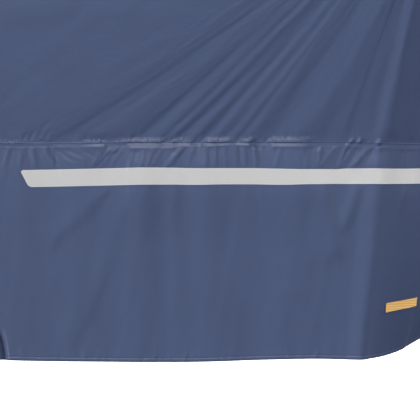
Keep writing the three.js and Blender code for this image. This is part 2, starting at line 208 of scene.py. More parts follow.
# Small knots of cloth caught in the right side's seam near the nose: foot, drop, half width, half height and
# rise.
KNOTS = [(750, 8, 4.5, 5, 3.4), (756, -2.5, 4, 4.5, 4.2), (773, -3, 4, 5, 4.6), (796, -3, 3.5, 4, 1.2),
         (812, -2, 4.5, 5.5, 5.2), (814, 13, 4.5, 4, 2)]
# Relief of the lower strip and of the lip at full tilt, and of the two sewn edges, by the drop below the
# groove. Below the strip both swell out with the gathered cloth, as an even mean of their neighbours.
STRIP_RELIEF = [(-1, 0), (0, 0), (1, 0.3), (10, 5.3), (11.5, 5.5), (50, 8), (85, 7.6), (210, 0)]
LIP_RELIEF = [
    (-15, 0), (-13.2, 0.3), (-12, 0.9), (-2.5, 5.8), (-1.2, 5.9), (0.4, 3.4), (11, 2.4), (50, 3), (85, 3),
    (210, 0)]
EDGE_RELIEF = [(-3, 0), (-0.5, 0.6), (1.5, 0), (8.5, 0), (11, 0.5), (16, 0)]
# The width of that mean, the steps that it is taken in, and the drops at which it takes over.
SWELL_EVEN = 42
EVEN_STEPS = 6
SWELL_FROM = (9.5, 20)

# Gathers below the seam on the right side: foot, lean (forward for each millimetre down), width, rise.
GATHERS = [
    (63, -0.1, 4, -0.8), (76, -0.2, 4.5, 1.2), (86, -0.2, 4, -0.8), (98, 0, 5, 1.4), (107, 0.2, 3.5, -1),
    (117, 0.25, 4.5, 1.8), (126, 0.35, 3.5, -1.2), (138, 0.55, 5.5, 2.5), (147, 0.55, 3.5, -1.5),
    (161, 0.05, 1.8, 0.5), (165, 0.05, 1.8, -0.7), (262, -0.4, 4, 0.8), (278, -0.8, 2.8, 1),
    (290, -0.9, 3, 1.2), (300, -0.8, 3, 1), (312, -0.7, 3, 0.8), (327, -0.25, 4, 1.2),
    (347, -0.2, 4.5, 1.6), (365, -0.3, 4.5, 1.4), (388, -0.6, 4, 1), (430, -0.85, 8, 2.6),
    (440, -0.75, 5, -0.7), (446, -0.3, 4, 1.1), (462, 0.1, 8, 2.2), (474, 0.05, 3.5, -1.4),
    (487, 0, 3.5, 1.2), (492, 0, 3, -1.1), (504, 0.05, 4, 1.4), (524, 0.1, 6, 1.7), (531, 0.1, 3.5, -1.4),
    (542, 0.1, 3.5, 1.4), (549, 0.1, 2.5, -1), (561, 0.15, 4.5, 2.2), (572, 0.15, 6, -0.9),
    (598, 0.3, 4, 0.7), (622, -0.3, 5, 1), (638, 0.4, 4, 0.7), (656, 0.3, 4, 1), (678, 0, 4, -1.1),
    (699, -0.15, 4.5, 1.5), (733, -0.7, 6, 1.3), (750, -0.3, 4, 2), (757, -0.4, 4, -0.8),
    (768, -0.6, 3.5, 0.9), (777, -0.5, 4, -1.1), (800, -0.75, 7, 2.5), (808, -0.5, 5, -0.7),
    (814, -0.05, 6, 1.3), (866, 0.1, 2.5, 1), (884, 0.1, 3, 0.9),
]
# Ranges that the fine sewing along the whole seam is drawn from. The left side's seeds are a step further on.
SMALL_GATHERS = {"seed": 5, "pitch": (7, 14), "lean": (-0.4, 0.4), "width": (2.4, 4), "rise": (-0.5, 0.5)}
PUCKERS = {"seed": 6, "pitch": (4.5, 9), "lean": (0.7, 1.1), "width": (1.6, 2.2), "rise": (-2.6, -1)}
HEM_PUCKERS = {"seed": 7, "pitch": (9, 26), "lean": (-0.4, 0.4), "width": (3, 6), "rise": (-0.8, 1.3)}
PLEATS = {"seed": 8, "pitch": (5, 13), "lean": (0.5, 1), "width": (2.2, 3.4), "rise": (-0.9, 0.6)}
SIDE_SEED = 10
# A gather is left out past this many of its widths.
BUMP_REACH = 3
# Gathers begin under the strip, are pressed by a share where the stripe is sewn on, and die out below it.
# Pleats stand above the lip and puckers in it.
GATHER_FROM = (7, 17)
GATHER_PRESSED = (42, 56)
PRESSED = 0.8
GATHER_TO = (60, 140)
PLEAT_FROM = (9, 13)
PLEAT_TO = (14, 50)
PUCKER_FROM = (-12, -9)
PUCKER_TO = (-2, 0)
# The faint crumple of slack cloth comes in away from the seam.
CRUMPLE_FROM = (10, 60)

# Height of the hem's band over the cloth, by the height above its edge.
HEM_PROFILE = [(0, 0.2), (2, 0.9), (6, 0.9), (7.6, -0.2), (10, 0.3), (16, 0), (30, 0)]
# Heights above the edge at which the hem's puckers die out, and past which their lean grows no further.
HEM_PUCKER_TO = (8, 30)
HEM_PUCKER_REACH = 40
# Heights above the edge between which the doubled hem takes over from the single cloth.
HEM_FROM = (12, 9)
# How far the skirt lies under the hood, and the drops at which it comes out from under the lap.
LAP_GAP = 0.25
LAP_TO = (11, 13)

# Section lines: their close and wide steps, the feet between which they are close, those at a centre seam by
# their distance from it, and the room kept beyond the last of these.
LINE_STEPS = {"right": (2.1, 11.0), "left": (8.0, 12.0)}
CLOSE_FEET = (-20, 905)
END_LINES = np.array([0, 1.5, 4, 7, 9.5])
END_ROOM = 2
# Rows of the hood: by their distance from the top line, spread out between there and the sewn ones, and by
# their drop from the groove.
TOP_ROWS = np.array([0, 1.5, 4, 6.5, 9])
UPPER_ROWS = 40
UPPER_SPREAD = 1.2
UPPER_END = 12
HOOD_ROWS = np.array([
    -60, -51, -43, -36, -30, -25, -21, -17.5, -14.5, -12.5, -11, -9.5, -8, -6.5, -5, -3.5, -2.3, -1.3, -0.6,
    0, 0.6, 1.3, 2.3, 3.5, 5, 6.5, 8, 9.5, 11])
# Rows of the skirt: by their drop from the groove, spread out between there and the hem, and by their height
# above its edge.
SKIRT_ROWS = np.concatenate([
    [-10, -7.5, -5, -3.5, -2.3, -1.3, -0.6, 0, 0.6, 1.3, 2.3, 3.5, 5, 6.5, 8, 9.5, 11],
    np.arange(13, 64, 3), np.arange(64, 112, 5)])
MIDDLE_ROWS = 24
HEM_ROWS = np.array([30, 22, 17, 14, 12, 10.5, 9.2, 8.4, 7.6, 6.8, 5.8, 4, 2, 0.8, 0])
SHARP_ANGLE = math.radians(50)

# The stripe: the foot of its rear end, how far that end slants, and how its corners are rounded.
STRIPE_END = 97
STRIPE_SLANT = 18
STRIPE_CORNER = 5
# How far the stripe's upper edge hangs below its line, and how much narrower it gets, by the foot above it.
STRIPE_RUN = {
    "right": [
        (97, 4.8, 0), (135, 4.1, 0), (200, 2.9, 0), (300, 0.7, 0), (340, 0, 0), (400, 0.3, 0.6),
        (460, 1.3, 1.2), (500, 1, 1.8), (560, 1, 2), (605, 1.8, 2), (640, 2.6, 2.9), (662, 2.9, 4),
        (700, 2.7, 4.4), (728, 2.8, 5), (750, 1.4, 3.4), (815, 1.1, 3.2), (845, 1.2, 3.8),
        (875, 0.8, 3.8), (900, 0.2, 3.6), (1078, 0, 3.6)],
    "left": [
        (97, 2, 0), (240, 3.5, 0.5), (420, 1.5, 1.5), (600, 3, 2.5), (780, 2, 3.5), (1078, 0, 3.6)],
}
# Its rows, the columns that fan out from its slanted end, where they are straight again, and the room kept
# from there to the next section line.
STRIPE_ROWS = 13
STRIPE_FAN = 13
STRIPE_SETTLE = 25
STRIPE_ROOM = 1
# Heights of the tape's underside and face over the cloth.
TAPE_OFF = (0.3, 0.9)

# The tag: the feet of its ends, the shares of the fall from stripe to hem between its edges, its columns and
# rows, the heights of its underside and face over the cloth, and how far its lower edge stands off.
TAG_FEET = (851.5, 907)
TAG_SHARES = (0.684, 0.737)
TAG_COLUMNS = 40
TAG_ROWS = 12
TAG_OFF = (0.35, 1.1)
TAG_LIFT = 2.2

# Stitched lines: the two edges of the waist seam by their drop below its groove, and the hem's by its height.
SEAM_STITCHES = np.array([-1.4, 9.4])
HEM_STITCHES = 7.6

# A wave texture of scale 1 repeats after this length.
BAND = math.pi / 10
WHITE = (1, 1, 1, 1)

# The stage is in metres: the floor, the camera and the width of its frame on the centre plane. Its sensor is
# in millimetres.
FLOOR_RADIUS = 40
CAMERA_AT = (0.775, -4.0, -0.437)
PHOTO_WIDTH = 0.903
SENSOR = 36
# Lights: name, place, aim, size, watts, and for some a kind of ray that they are hidden from.
AIM = (0.75, -0.3, -0.35)
LIGHTS = [
    ("top", (0.27, -3.7, 4.55), AIM, 2.0, 30),
    ("gleam", (0.27, -3.7, 4.55), AIM, 2.0, 210, "diffuse"),
    ("key", (-24.45, -11.5, 2.0), AIM, 5.0, 6200),
    ("fill", (5.6, -4.6, 1.0), AIM, 3.0, 199, "glossy"),
    ("rim", (7.7, 0.9, 3.65), (0.9, -0.3, -0.35), 2.0, 110, "glossy"),
    ("back", (1.5, 5.5, 3.0), (0.4, 0.3, -0.4), 3.0, 200),
]
BEAD_LIGHT = ("returned", (6.35, -6.0, 0.45), AIM, 2.0, 300)
# The surround's strength: the way across it, and where on that way it changes from which value to which.
SKY_AXIS = (-0.4, 0, 0.92)
SKY = {"From Min": -0.8, "From Max": 0.3, "To Min": 0.05, "To Max": 0.575}


def smooth_curve(keys, values):
    """A curve through keys and values that never swings past a crest or a valley."""
    keys, values = np.asarray(keys, float), np.asarray(values, float)
    steps = np.diff(values) / np.diff(keys)
    before, after = steps[:-1], steps[1:]
    same = before * after > 0
    slopes = np.zeros(len(keys))
    slopes[1:-1][same] = 2 * before[same] * after[same] / (before[same] + after[same])

    def curve(at):
        at = np.asarray(at, float)
        i = np.clip(np.searchsorted(keys, at) - 1, 0, len(keys) - 2)
        span = keys[i + 1] - keys[i]
        t = np.clip((at - keys[i]) / span, 0, 1)
        rest = 1 - t
        return (values[i] * rest * rest * (1 + 2 * t) + values[i + 1] * t * t * (3 - 2 * t)
                + span * t * rest * (slopes[i] * rest - slopes[i + 1] * t))

    return curve


def table_curve(rows, column=1):
    """A smooth curve through one column of a table, by the table's first column."""
    return smooth_curve([row[0] for row in rows], [row[column] for row in rows])


def ease(low, high, at):
    """Rises smoothly from 0 at low to 1 at high."""
    t = np.clip((at - low) / (high - low), 0, 1)
    return t * t * (3 - 2 * t)


def bump(distance, width):
    """A soft bump of height 1, which is down to about a third at its width."""
    return np.exp(-(distance / width) ** 2)


def even_mean(rows, column, at):
    """A table column as a soft mean over its neighbours."""
    fine = np.arange(rows[0][0], rows[-1][0], SWELL_EVEN / EVEN_STEPS)
    reach = 2 * EVEN_STEPS
    weights = bump(np.arange(-reach, reach + 1), EVEN_STEPS)
    values = np.pad(table_curve(rows, column)(fine), reach, "edge")
    return np.interp(at, fine, np.convolve(values, weights / weights.sum(), "valid"))


ALONG = np.concatenate([[0], np.cumsum(np.hypot(*np.diff(STATIONS[:, :2], axis=0).T))])
LENGTH = ALONG[-1]


def station_curve(column):
    """A station column along the waist. Past both ends it mirrors, so the halves close without a crease."""
    sign = -1 if STATION_COLUMNS[column].endswith("_y") else 1
    values = STATIONS[:, column]
    keys = np.concatenate([[-ALONG[1]], ALONG, [2 * LENGTH - ALONG[-2]]])
    return smooth_curve(keys, np.concatenate([[sign * values[1]], values, [sign * values[-2]]]))


STATION_CURVES = {name: station_curve(i) for i, name in enumerate(STATION_COLUMNS)}
FLARE_OUT = table_curve(FLARE)
TUCK_IN = table_curve(TUCK)
STRIP_LIFT = table_curve(STRIP_RELIEF)
LIP_LIFT = table_curve(LIP_RELIEF)
EDGE_LIFT = table_curve(EDGE_RELIEF)
HEM_RISE = table_curve(HEM_PROFILE)


def along_at(foot):
    """Distance along the waist seam of a foot given by its x."""
    fine = np.linspace(0, LENGTH, ALONG_STEPS)
    return np.interp(foot, STATION_CURVES["waist_x"](fine), fine)


def section_points(along):
    """The points that each section line of the right half is drawn through, and its foot."""
    at = {name: curve(along) for name, curve in STATION_CURVES.items()}
    zero = np.zeros_like(along)
    return {
        "foot": at["waist_x"],
        "top": np.stack([at["top_x"], zero, at["top_z"]], -1),
        "corner": np.stack([at["corner_x"], -at["corner_y"], at["corner_z"]], -1),
        "waist": np.stack([at["waist_x"], -at["waist_y"], zero + SEAM_Z], -1),
        "hem": np.stack([at["hem_x"], -at["hem_y"], at["hem_z"]], -1),
    }


def hood_points(section, turn):
    """Points on the hood: turn is 0 on the top line and 1 at the waist."""
    to_corner = (1 - (1 - turn) ** CORNER_TIGHTNESS)[..., None]
    to_waist = (turn ** CORNER_TIGHTNESS)[..., None]
    top, corner, waist = section["top"], section["corner"], section["waist"]
    return top + (corner - top) * to_corner + (waist - corner) * to_waist


def hood_runs(section):
    """Turns from the waist up to the top line, and the run of cloth up to each on every section line."""
    turns = np.linspace(1, 0, HOOD_STEPS)
    line = hood_points(section, np.tile(turns[:, None], len(section["foot"])))
    steps = np.linalg.norm(np.diff(line, axis=0), axis=-1)
    return turns, np.concatenate([np.zeros((1, steps.shape[1])), np.cumsum(steps, 0)])


def outward(points):
    """Unit way out of the cloth at each point of a grid whose rows run down and columns forward. On the
    centre plane it stays in that plane, so the halves meet there."""
    way = np.cross(np.gradient(points, axis=0), np.gradient(points, axis=1))
    way[..., 1] = np.where(points[..., 1] > -CENTRE_REACH, 0, way[..., 1])
    return way / np.linalg.norm(way, axis=-1, keepdims=True)


def fold_rise(rows, foot, share):
    """Rise of a table of folds on a grid: each crest or valley runs from its near foot to its far one."""
    near, far, near_rise, far_rise = np.array(rows, float).T
    rise = np.empty_like(share)
    for r, line in enumerate(share):
        t = float(np.clip(line.mean(), 0, 1))
        rise[r] = smooth_curve(near + (far - near) * t, near_rise + (far_rise - near_rise) * t)(foot)
    return rise


def crease_rise(creases, x, z):
    """Sum of listed creases: soft ridges or troughs along bent lines, which die out at both ends."""
    total = np.zeros_like(x)
    for line, rear, front, rise in creases:
        line = np.array(line, float)
        runs = np.linalg.norm(np.diff(line, axis=0), axis=1)
        best = np.full(x.shape, np.inf)
        across, along = np.zeros_like(x), np.zeros_like(x)
        for start, end, run, before in zip(line[:-1], line[1:], runs, np.cumsum(runs) - runs):
            way = (end - start) / run
            t = np.clip((x - start[0]) * way[0] + (z - start[1]) * way[1], 0, run)
            off_x, off_z = x - start[0] - way[0] * t, z - start[1] - way[1] * t
            distance = np.hypot(off_x, off_z)
            nearer = distance < best
            # The front flank lies ahead of a line, or below it where it runs level.
            lean = np.sign(way[0] * way[1] or 1)
            ahead = np.sign(off_x * abs(way[1]) - off_z * abs(way[0]) * lean)
            across = np.where(nearer, distance * ahead, across)
            along = np.where(nearer, before + t, along)
            best = np.minimum(distance, best)
        fade = min(runs.sum() / 3, CREASE_FADE)
        ends = ease(0, fade, along) * ease(0, fade, runs.sum() - along)
        total += rise * bump(across, np.where(across < 0, rear, front)) * ends
    return total


def sewn_rows(side, kind):
    """Rows of fine gathers or puckers of uneven pitch, lean, width and rise along the whole seam."""
    draw = np.random.default_rng(kind["seed"] + SIDE_SEED * SIDES.index(side))
    rows, foot = [], 0.0
    while foot < LENGTH:
        rows.append((foot, *(draw.uniform(*kind[name]) for name in ("lean", "width", "rise"))))
        foot += draw.uniform(*kind["pitch"])
    return rows


def sewn_rise(rows, along, drop):
    """Rise of gathers or puckers on a grid of distances along the seam and below it."""
    rise = np.zeros_like(drop)
    reach = np.abs(drop).max(initial=0)
    for foot, lean, width, height in rows:
        near = np.abs(along - foot) < BUMP_REACH * width + abs(lean) * reach
        rise[:, near] += height * bump(along[near] - foot - lean * drop[:, near], width)
    return rise


def gather_rise(side, along, drop):
    """Gathers below the seam and the short pleats that answer them above it."""
    rows = sewn_rows(side, SMALL_GATHERS)
    if side == "right":
        rows = rows + [(float(along_at(foot)), *rest) for foot, *rest in GATHERS]
    pressed = 1 - PRESSED * ease(*GATHER_PRESSED, drop)
    below = ease(*GATHER_FROM, drop) * pressed * (1 - ease(*GATHER_TO, drop))
    above = ease(*PLEAT_FROM, -drop) * (1 - ease(*PLEAT_TO, -drop))
    lower, upper = np.any(below > 0, axis=1), np.any(above > 0, axis=1)
    rise = np.zeros_like(drop)
    rise[lower] = sewn_rise(rows, along, drop[lower]) * below[lower]
    rise[upper] += sewn_rise(sewn_rows(side, PLEATS), along, drop[upper]) * above[upper]
    return rise


def crumple(along, drop, seed, waves=16, pitch=(30, 90), lean=0.5, rise=0.06):
    """Faint uneven swell of slack cloth, longer down the cloth than along it, as a fixed sum of waves."""
    draw = np.random.default_rng(seed)
    total = np.zeros_like(drop)
    for _ in range(waves):
        angle, phase = draw.uniform(-lean, lean), draw.uniform(0, 2 * math.pi)
        length = draw.uniform(*pitch)
        total += np.sin(2 * math.pi * (along * math.cos(angle) + drop * math.sin(angle)) / length + phase)
    return total * rise


class Half:
    """One half of the cover, worked out as the right one, in millimetres above the ground."""

    def __init__(self, side, along=None):
        self.side = side
        self.along = self.section_lines() if along is None else along
        self.section = section_points(self.along)
        self.fall = (self.section["waist"] - self.section["hem"])[:, 2]
        self.turns, self.lengths = hood_runs(self.section)
        foot, run = self.section["foot"], SEAM_RUN[side]
        self.seam = {name: table_curve(run, i)(foot) for i, name in enumerate(SEAM_COLUMNS) if i}
        self.even = {name: even_mean(run, SEAM_COLUMNS.index(name), foot) for name in ("tilt", "lip")}

    def section_lines(self):
        """Section lines, close together where the cloth is gathered in view and at the centre seams."""
        near, far = (along_at(foot) for foot in CLOSE_FEET)
        close, wide = LINE_STEPS[self.side]
        spans = ((0, near, wide), (near, far, close), (far, LENGTH, wide))
        inner = np.concatenate(
            [np.linspace(low, high, int((high - low) / step) + 1)[:-1] for low, high, step in spans])
        first = END_LINES[-1] + END_ROOM
        inner = inner[(inner > first) & (inner < LENGTH - first)]
        return np.concatenate([END_LINES, inner, LENGTH - END_LINES[::-1]])

    def base(self, drop):
        """Points of the plain cloth at drops below the seam, or above it where the drop is negative."""
        waist, hem = self.section["waist"], self.section["hem"]
        skirt = waist + (hem - waist) * (np.maximum(drop, 0) / self.fall)[..., None]
        heights = np.maximum(-drop, 0).T
        turns = [np.interp(height, length, self.turns) for height, length in zip(heights, self.lengths.T)]
        return np.where((drop > 0)[..., None], skirt, hood_points(self.section, np.array(turns).T))

    def fold_lift(self, drop):
        """Rise of the folds: the hood's above the seam, and the skirt's own where it hangs free below it."""
        foot = self.section["foot"]
        height = np.maximum(-drop, 0)
        low = np.clip(drop / self.fall, 0, 1)
        span = np.linalg.norm(self.section["corner"] - self.section["waist"], axis=-1)
        hood = fold_rise(HOOD_FOLDS[self.side], foot, height / HOOD_FAR)
        skirt = fold_rise(SKIRT_FOLDS[self.side], foot, low)
        freed = SEAM_HOLD + (1 - SEAM_HOLD) * ease(*FOLD_FREE, height)
        above = hood * freed * np.clip(1 - height / span, 0, 1)
        changed = ease(*FOLD_CHANGE, drop)
        below = hood * SEAM_HOLD * (1 - changed) + skirt * changed
        return np.where(drop > 0, below, above) + FLARE_OUT(drop) - TUCK_IN(foot) * low ** TUCK_POWER

    def from_groove(self, drop):
        """Drops as the seam's tables count them: from the sagging groove, over a strip of even width."""
        strip = self.seam["strip"]
        sewn = drop - self.seam["sag"] * (1 - ease(*SAG_TO, np.abs(drop)))
        below = np.where(sewn < strip, sewn * STRIP_WIDTH / strip, sewn + STRIP_WIDTH - strip)
        return np.where(sewn > 0, below, sewn)

    def sewn_drops(self, drops):
        """Drops of rows that follow the groove's sag and the width of the strip below it."""
        wider = self.seam["strip"] - STRIP_WIDTH
        share = np.where(drops < STRIP_WIDTH, drops / STRIP_WIDTH, 1 - ease(STRIP_WIDTH, SAG_TO[1], drops))
        sag = self.seam["sag"] * (1 - ease(*SAG_TO, np.abs(drops)))
        return drops + wider * np.where(drops > 0, share, 0) + sag

    def seam_lift(self, sewn):
        """Rise of the sewn edges, the strip, the lip and its puckers, by the drop from the groove."""
        freed = ease(*SWELL_FROM, sewn)
        tilt, lip = (self.seam[name] * (1 - freed) + self.even[name] * freed for name in ("tilt", "lip"))
        band = ease(*PUCKER_FROM, sewn) * (1 - ease(*PUCKER_TO, sewn))
        rows = np.any(band > 0, axis=1)
        puckers = np.zeros_like(sewn)
        puckers[rows] = sewn_rise(sewn_rows(self.side, PUCKERS), self.along, sewn[rows]) * band[rows]
        strip = tilt * self.seam["strip"] / STRIP_WIDTH * STRIP_LIFT(sewn)
        return EDGE_LIFT(sewn) + strip + lip * LIP_LIFT(sewn) + self.seam["pucker"] * puckers

    def hem_lift(self, above_edge):
        """Rise of the hem's band and its puckers, by the height above the hem's edge."""
        rows = sewn_rows(self.side, HEM_PUCKERS)
        puckers = sewn_rise(rows, self.along, np.minimum(above_edge, HEM_PUCKER_REACH))
        return HEM_RISE(above_edge) + puckers * (1 - ease(*HEM_PUCKER_TO, above_edge))

    def rise(self, drop, x, z):
        """How far folds, seams and creases lift the cloth off its plain shape."""
        sewn = self.from_groove(drop)
        rise = self.fold_lift(drop) + self.seam_lift(sewn) + gather_rise(self.side, self.along, sewn)
        rise += self.hem_lift(self.fall - drop)
        rise += crumple(self.along, drop, SIDES.index(self.side)) * ease(*CRUMPLE_FROM, np.abs(drop))
        if self.side == "right":
            for foot, down, wide, tall, height in KNOTS:
                rise += height * bump(self.section["foot"] - foot, wide) * bump(sewn - down, tall)
            rise += np.where(drop > 0, crease_rise(SKIRT_CREASES, x, z), crease_rise(HOOD_CREASES, x, z))
        return rise

    def surface(self, drop):
        """Points of the folded cloth and the way out of it, at a grid of drops (rows) and section lines."""
        base = self.base(drop)
        way = outward(base)
        points = base.copy()
        points[..., 1] = np.minimum(points[..., 1], -CENTRE_GAP)
        return points + way * self.rise(drop, base[..., 0], base[..., 2])[..., None], way

    def line(self, drop):
        """Points of a single row of drops and the way out there, measured over a row on either side."""
        points, way = self.surface(np.stack([drop - 1, drop, drop + 1]))
        return points[1], way[1]

    def placed(self, points):
        """Points in the part's frame, in metres."""
        moved = (points - REST) * MM
        if self.side == "left":
            moved[..., 1] *= -1
        return moved


def hood_drops(half):
    """Rows of the hood, from the top line down to the edge of the lap."""
    length = half.lengths[-1]
    sewn_top = -HOOD_ROWS[0]
    shares = np.linspace(0, 1, UPPER_ROWS + 1)[:0:-1, None] ** UPPER_SPREAD
    upper = sewn_top + (length - sewn_top - UPPER_END) * shares
    return np.concatenate([TOP_ROWS[:, None] - length, -upper, half.sewn_drops(HOOD_ROWS[:, None])])


def skirt_drops(half):
    """Rows of the skirt, from the top of the lap down to the hem's edge."""
    shares = np.linspace(0, 1, MIDDLE_ROWS + 2)[1:-1, None]
    middle = SKIRT_ROWS[-1] + (half.fall - HEM_ROWS[0] - SKIRT_ROWS[-1]) * shares
    return np.concatenate([half.sewn_drops(SKIRT_ROWS[:, None]), middle, half.fall - HEM_ROWS[:, None]])


def grid_faces(rows, columns, start=0, flip=False):
    """Faces between the points of a grid that are numbered from start."""
    index = np.arange(rows * columns).reshape(rows, columns) + start
    quads = np.stack([index[:-1, :-1], index[1:, :-1], index[1:, 1:], index[:-1, 1:]], -1).reshape(-1, 4)
    return quads[:, ::-1] if flip else quads


def sheet_mesh(name, outer, inner, flip, across, down):
    """A closed sheet between two grids of points, with a UV map in metres along and down the cloth."""
    rows, columns = outer.shape[:2]
    count = rows * columns
    vertices = np.concatenate([outer.reshape(-1, 3), inner.reshape(-1, 3)])
    index = np.arange(count).reshape(rows, columns)
    rim = np.concatenate([index[0, :-1], index[:-1, -1], index[-1, :0:-1], index[:0:-1, 0]])
    ahead = np.roll(rim, -1)
    edge = np.stack([rim, ahead, ahead + count, rim + count], -1)
    faces = np.concatenate([
        grid_faces(rows, columns, 0, flip), grid_faces(rows, columns, count, not flip),
        edge[:, ::-1] if flip else edge])
    mesh = bpy.data.meshes.new(name)
    mesh.from_pydata(vertices.tolist(), [], faces.tolist())
    flat = np.stack(np.broadcast_arrays(across, down), -1).reshape(-1, 2) * MM
    flat = np.concatenate([flat, flat])
    loops = np.empty(len(mesh.loops), np.int32)
    mesh.loops.foreach_get("vertex_index", loops)
    mesh.uv_layers.new(name="cloth").data.foreach_set("uv", flat[loops].astype(np.float32).ravel())
    mesh.shade_smooth()
    mesh.set_sharp_from_angle(angle=SHARP_ANGLE)
    mesh.validate()
    return mesh


def add_piece(name, mesh, material, nodes):
    """Puts a piece in the scene, on the one body and in place of its nodes."""
    piece = bpy.data.objects.new(name, mesh)
    bpy.context.scene.collection.objects.link(piece)
    mesh.materials.append(material)
    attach(piece, "root")
    if nodes:
        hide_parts(*nodes)
    return piece


def linear(hex_colour):
    """Linear colour from an sRGB hex value."""
    parts = [int(hex_colour[i:i + 2], 16) / 255 for i in (1, 3, 5)]
    return tuple(c / 12.92 if c <= 0.04045 else ((c + 0.055) / 1.055) ** 2.4 for c in parts) + (1.0,)


def shade(colour, share):
    """A colour made darker or lighter by a share."""
    return tuple(part * share for part in colour[:3]) + (1.0,)


def node(tree, kind, settings=None, inputs=None):
    """Adds a node with its settings, and sets each input to a value or links it to another node's output."""
    made = tree.nodes.new(kind)
    for key, value in (settings or {}).items():
        setattr(made, key, value)
    for key, value in (inputs or {}).items():
        if isinstance(value, bpy.types.NodeSocket):
            tree.links.new(value, made.inputs[key])
        else:
            made.inputs[key].default_value = value
    return made


def new_material(name):
    """A material with an empty node tree."""
    material = bpy.data.materials.new(name)
    material.use_nodes = True
    material.node_tree.nodes.clear()
    return material, material.node_tree


def coated_taffeta(colour):
    """Polyester taffeta with a thin coating: a dark dyed plain weave with a satin, slightly uneven gloss."""
    material, tree = new_material("coated_polyester_taffeta")
    cloth = node(tree, "ShaderNodeTexCoord").outputs["UV"]
    # Dye and gloss waver over patches about 90 mm across.
    patch = node(tree, "ShaderNodeTexNoise", inputs={
        "Vector": cloth, "Scale": 1 / (90 * MM), "Detail": 4, "Roughness": 0.6})
    dye = node(tree, "ShaderNodeMix", {"data_type": "RGBA"}, {
        "Factor": patch.outputs["Fac"], "A": shade(colour, 0.88), "B": colour})
    gloss = node(tree, "ShaderNodeMapRange", inputs={
        "Value": patch.outputs["Fac"], "To Min": 0.34, "To Max": 0.42})
    # The thread spacing is 0.4 mm; it is drawn at 1.6 mm, or it would not show at all.
    yarn = {"Vector": cloth, "Scale": BAND / (1.6 * MM), "Distortion": 0.6, "Detail": 1}
    warp = node(tree, "ShaderNodeTexWave", {"bands_direction": "X"}, yarn)
    weft = node(tree, "ShaderNodeTexWave", {"bands_direction": "Y"}, yarn)
    weave = node(tree, "ShaderNodeMath", {"operation": "MULTIPLY"}, {
        0: warp.outputs["Fac"], 1: weft.outputs["Fac"]})
    # The coating dries in a pebble about 6 mm across.
    pebble = node(tree, "ShaderNodeTexNoise", inputs={
        "Vector": cloth, "Scale": 1 / (6 * MM), "Detail": 3, "Roughness": 0.7})
    grain = node(tree, "ShaderNodeMath", {"operation": "ADD"}, {
        0: weave.outputs[0], 1: pebble.outputs["Fac"]})
    relief = node(tree, "ShaderNodeBump", inputs={
        "Height": grain.outputs[0], "Strength": 0.12, "Distance": 0.4 * MM})
    # Slack cloth is creased in short streaks, 14 to 18 mm apart and 40 to 45 mm long, in two directions.
    for turn, apart, length in ((0.5, 14, 45), (-0.8, 18, 40)):
        laid = node(tree, "ShaderNodeMapping", {"vector_type": "TEXTURE"}, {
            "Vector": cloth, "Rotation": (0, 0, turn), "Scale": (apart * MM, length * MM, 1)})
        streaks = node(tree, "ShaderNodeTexNoise", inputs={
            "Vector": laid.outputs["Vector"], "Scale": 1, "Detail": 2, "Roughness": 0.5})
        relief = node(tree, "ShaderNodeBump", inputs={
            "Height": streaks.outputs["Fac"], "Normal": relief.outputs["Normal"], "Strength": 1,
            "Distance": 0.5 * MM})
    shader = node(tree, "ShaderNodeBsdfPrincipled", inputs={
        "Base Color": dye.outputs["Result"], "Roughness": gloss.outputs["Result"],
        "Normal": relief.outputs["Normal"], "Specular IOR Level": 0.25})
    node(tree, "ShaderNodeOutputMaterial", inputs={"Surface": shader.outputs["BSDF"]})
    return material


def reflective_tape(colour):
    """Glass-bead reflective tape: silver grey and satin, with a sandy grain, faint lines along it and a paler
    rim along its edges, which is a painted highlight."""
    material, tree = new_material("glass_bead_reflective_tape")
    tape = node(tree, "ShaderNodeTexCoord").outputs["UV"]
    # The beads are finer than 0.1 mm; their grain is drawn at 3 mm, or it would not show at all.
    beads = node(tree, "ShaderNodeTexNoise", inputs={"Vector": tape, "Scale": 1 / (3 * MM), "Detail": 2})
    lines = node(tree, "ShaderNodeTexWave", {"bands_direction": "Y"}, {
        "Vector": tape, "Scale": BAND / (3.4 * MM), "Distortion": 0.3})
    grain = node(tree, "ShaderNodeMath", {"operation": "MULTIPLY_ADD"}, {
        0: lines.outputs["Fac"], 1: 0.35, 2: beads.outputs["Fac"]})
    silver = node(tree, "ShaderNodeMix", {"data_type": "RGBA"}, {
        "Factor": grain.outputs[0], "A": shade(colour, 0.9), "B": colour})
    # Within 0.8 to 1.8 mm of its edges the tape is painted paler: a painted highlight where the edges catch
    # the light.
    edge = node(tree, "ShaderNodeAttribute", {"attribute_name": "rim"})
    rim = node(tree, "ShaderNodeMapRange", inputs={
        "Value": edge.outputs["Fac"], "From Min": 0.8 * MM, "From Max": 1.8 * MM, "To Min": 1, "To Max": 0})
    tone = node(tree, "ShaderNodeMix", {"data_type": "RGBA"}, {
        "Factor": rim.outputs["Result"], "A": silver.outputs["Result"], "B": shade(colour, 1.12)})
    relief = node(tree, "ShaderNodeBump", inputs={
        "Height": beads.outputs["Fac"], "Strength": 0.1, "Distance": 0.3 * MM})
    shader = node(tree, "ShaderNodeBsdfPrincipled", inputs={
        "Base Color": tone.outputs["Result"], "Normal": relief.outputs["Normal"], "Roughness": 0.5,
        "Diffuse Roughness": 1})
    node(tree, "ShaderNodeOutputMaterial", inputs={"Surface": shader.outputs["BSDF"]})
    return material


